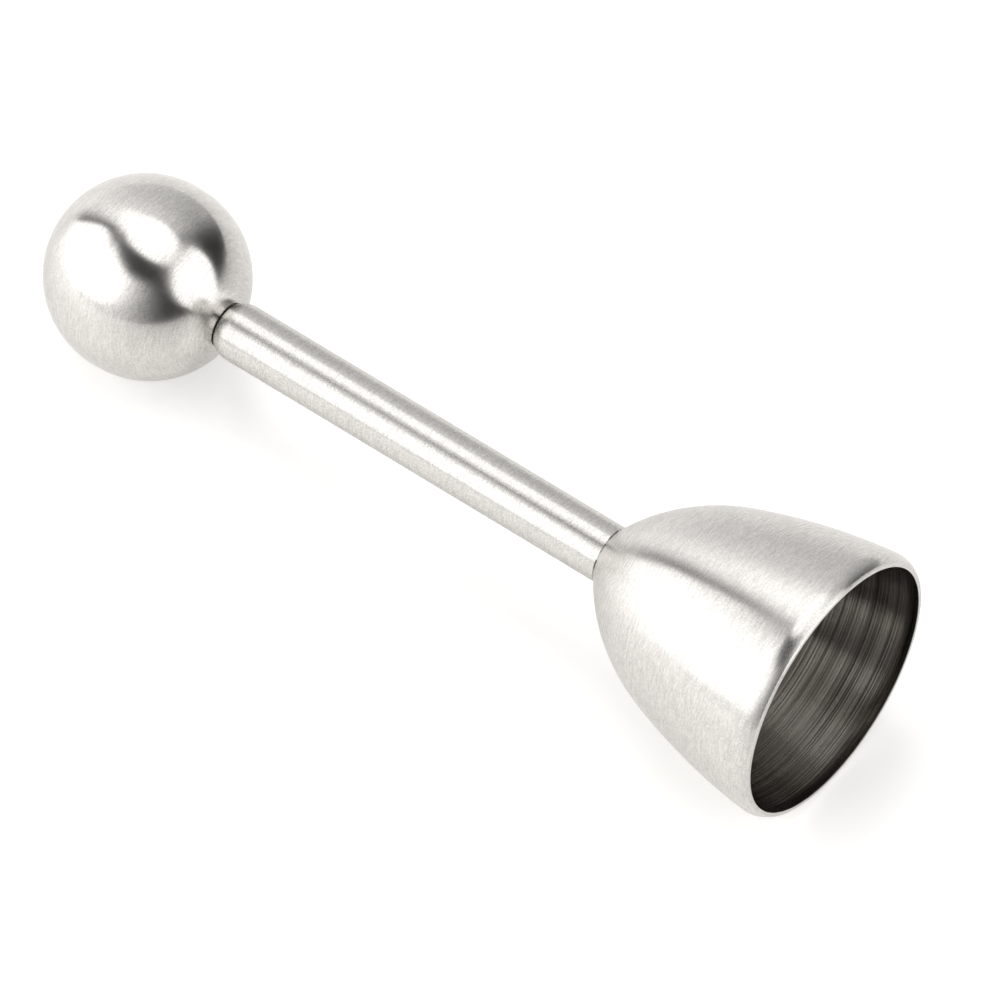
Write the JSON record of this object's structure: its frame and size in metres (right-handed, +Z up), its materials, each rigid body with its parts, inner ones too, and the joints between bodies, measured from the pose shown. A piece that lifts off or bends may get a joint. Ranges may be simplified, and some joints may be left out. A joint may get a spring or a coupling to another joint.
{
  "type": "egg topper",
  "caption": "Sprung egg topper: a steel cup on a slim tube, with a hammer inside that a ball knob pulls back and a spring drives against the cup's crown.",
  "frame": {"origin": "on the surface that the tool lies on, under the middle of its outline", "axes": "+X the way the cup's mouth faces, +Z up from the surface. The tool's own axis lies in the XZ plane and leans 2.79 degrees, with the ball end the lower"},
  "size_m": [0.1174, 0.035, 0.035],
  "materials": {
    "cup_steel": "satin, brushed round the axis",
    "tube_steel": "satin, brushed round the axis",
    "ball_steel": "satin, brushed round the axis",
    "rod_steel": "ground",
    "turned_steel": "turned",
    "fastener_steel": "plain",
    "spring_steel": "drawn wire",
    "bush_brass": "turned",
    "seal_rubber": "matt"
  },
  "bodies": {
    "holder": {"cup": "cup_steel", "crown_seal": "seal_rubber", "crown_washer": "fastener_steel", "crown_screw": "fastener_steel", "anvil": "turned_steel", "tube": "tube_steel", "guide_bush": "bush_brass", "upper_spring_washer": "fastener_steel", "spring": "spring_steel"},
    "spring_seat": {"lower_spring_washer": "fastener_steel"},
    "plunger": {"rod": "rod_steel", "hammer": "turned_steel", "hammer_pin": "turned_steel", "ball_boss": "turned_steel", "ball_front": "ball_steel", "ball_rear": "ball_steel"}
  },
  "joints": [
    {"name": "ball_pull", "type": "slide", "parent": "holder", "child": "spring_seat", "axis": [-0.9988, 0, -0.0486], "range_m": [0, 0.015], "stiffness_N_per_m": 710, "springref_m": -0.006, "deforming": ["spring"]},
    {"name": "ball_spin", "type": "hinge", "parent": "spring_seat", "child": "plunger", "pos_m": [-0.04591, 0, 0.01251], "axis": [-0.9988, 0, -0.0486], "continuous": true}
  ]
}
